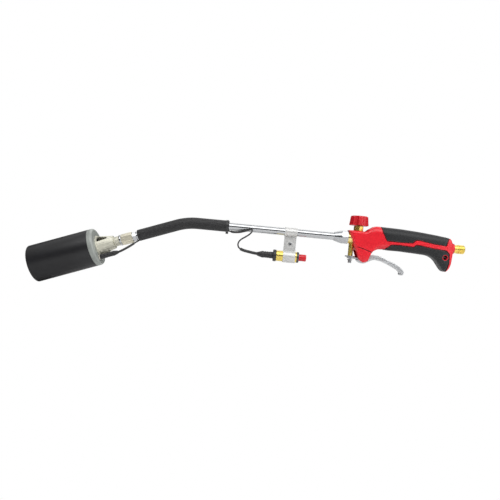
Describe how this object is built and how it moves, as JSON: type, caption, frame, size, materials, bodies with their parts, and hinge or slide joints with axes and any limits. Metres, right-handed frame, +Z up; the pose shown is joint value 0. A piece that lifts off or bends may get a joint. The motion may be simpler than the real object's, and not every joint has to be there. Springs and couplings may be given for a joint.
{
  "type": "propane torch",
  "caption": "Hand-held gas torch with a wide burner bell on a bent lance, a push-button igniter, a needle valve knob and a squeeze trigger.",
  "frame": {"origin": "on the axis of the gas inlet, at the inlet's outer end", "axes": "+X out of the inlet towards the hose, +Z up towards the knob, +Y towards the right-hand shell"},
  "size_m": [0.7007, 0.0602, 0.1539],
  "materials": {
    "bell_black": "satin heat-resistant black",
    "plate_grey": "satin zinc grey",
    "cast_alloy": "satin as cast",
    "plated_steel": "bright plated",
    "zinc_steel": "zinc plated, satin",
    "nickel": "warm satin nickel",
    "brass": "turned, bright",
    "dark_steel": "blackened",
    "ceramic_white": "glazed",
    "black_rubber": "matt",
    "black_foam": "matt closed-cell foam",
    "black_plastic": "matt",
    "ivory_plastic": "matt",
    "red_plastic": "semi-gloss moulded",
    "knob_red": "semi-gloss moulded",
    "button_red": "gloss moulded",
    "grip_grey": "matt soft-touch overmould"
  },
  "bodies": {
    "torch": {"burner_bell": "bell_black", "bell_back_plate": "plate_grey", "mixing_tube": "zinc_steel", "flame_spreader": "zinc_steel", "air_cage": "cast_alloy", "gas_jet": "brass", "jet_holder": "cast_alloy", "lock_ring": "plated_steel", "head_coupling": "nickel", "front_tube_nut": "plated_steel", "front_olive": "brass", "electrode_rod": "zinc_steel", "electrode_insulator": "ceramic_white", "electrode_boot": "black_rubber", "ignition_lead": "black_rubber", "lead_sleeving_front": "black_plastic", "lead_sleeving_rear": "black_plastic", "lead_heat_shrink": "black_plastic", "lance_tube": "plated_steel", "foam_sleeve": "black_foam", "sleeve_tie": "black_plastic", "rear_tube_nut": "zinc_steel", "rear_olive": "brass", "igniter_bracket": "plated_steel", "bracket_screw": "zinc_steel", "bracket_nut": "zinc_steel", "igniter_barrel": "brass", "igniter_end_cap": "black_plastic", "igniter_boot": "black_rubber", "igniter_collar": "dark_steel", "piezo_module": "ivory_plastic", "handle_shell_left": "red_plastic", "handle_shell_right": "red_plastic", "grip_pad_upper_left": "grip_grey", "grip_pad_upper_right": "grip_grey", "grip_pad_lower_left": "grip_grey", "grip_pad_lower_right": "grip_grey", "handle_screws": "dark_steel", "valve_body": "brass", "gas_pipe": "brass", "inlet_fitting": "brass", "valve_gland": "brass", "gland_o_ring": "black_rubber", "plunger_tube": "brass", "plunger_spring": "zinc_steel", "plunger_washer": "black_rubber", "trigger_pin": "zinc_steel"},
    "needle": {"needle_spindle": "zinc_steel"},
    "knob": {"control_knob": "knob_red", "knob_screw": "zinc_steel"},
    "lever": {"trigger_lever": "zinc_steel"},
    "plunger": {"plunger_stem": "zinc_steel", "plunger_seal": "black_rubber", "plunger_nut": "zinc_steel"},
    "button": {"igniter_button": "button_red", "piezo_plunger": "black_plastic"}
  },
  "joints": [
    {"name": "trigger_pivot", "type": "hinge", "parent": "torch", "child": "lever", "pos_m": [-0.163, 0, -0.0267], "axis": [0, -1, 0], "range_deg": [0, 14], "stiffness_Nm_per_rad": 1.2, "springref_deg": -6.88},
    {"name": "plunger_slide", "type": "slide", "parent": "torch", "child": "plunger", "axis": [0, 0, 1], "range_m": [-0.00498, 0], "deforming": ["plunger_spring"]},
    {"name": "knob_turn", "type": "hinge", "parent": "needle", "child": "knob", "pos_m": [-0.173, 0, 0.0232], "axis": [0, 0, 1], "range_deg": [0, 540]},
    {"name": "knob_rise", "type": "slide", "parent": "torch", "child": "needle", "axis": [0, 0, 1], "range_m": [0, 0.0015]},
    {"name": "button_press", "type": "slide", "parent": "torch", "child": "button", "axis": [-1, 0, 0], "range_m": [0, 0.006], "stiffness_N_per_m": 1500, "springref_m": -0.003}
  ],
  "couplings": [
    {"joint": "trigger_pivot", "follows": "plunger_slide", "rad_per_m": -49},
    {"joint": "knob_turn", "follows": "knob_rise", "rad_per_m": 6283.2}
  ]
}
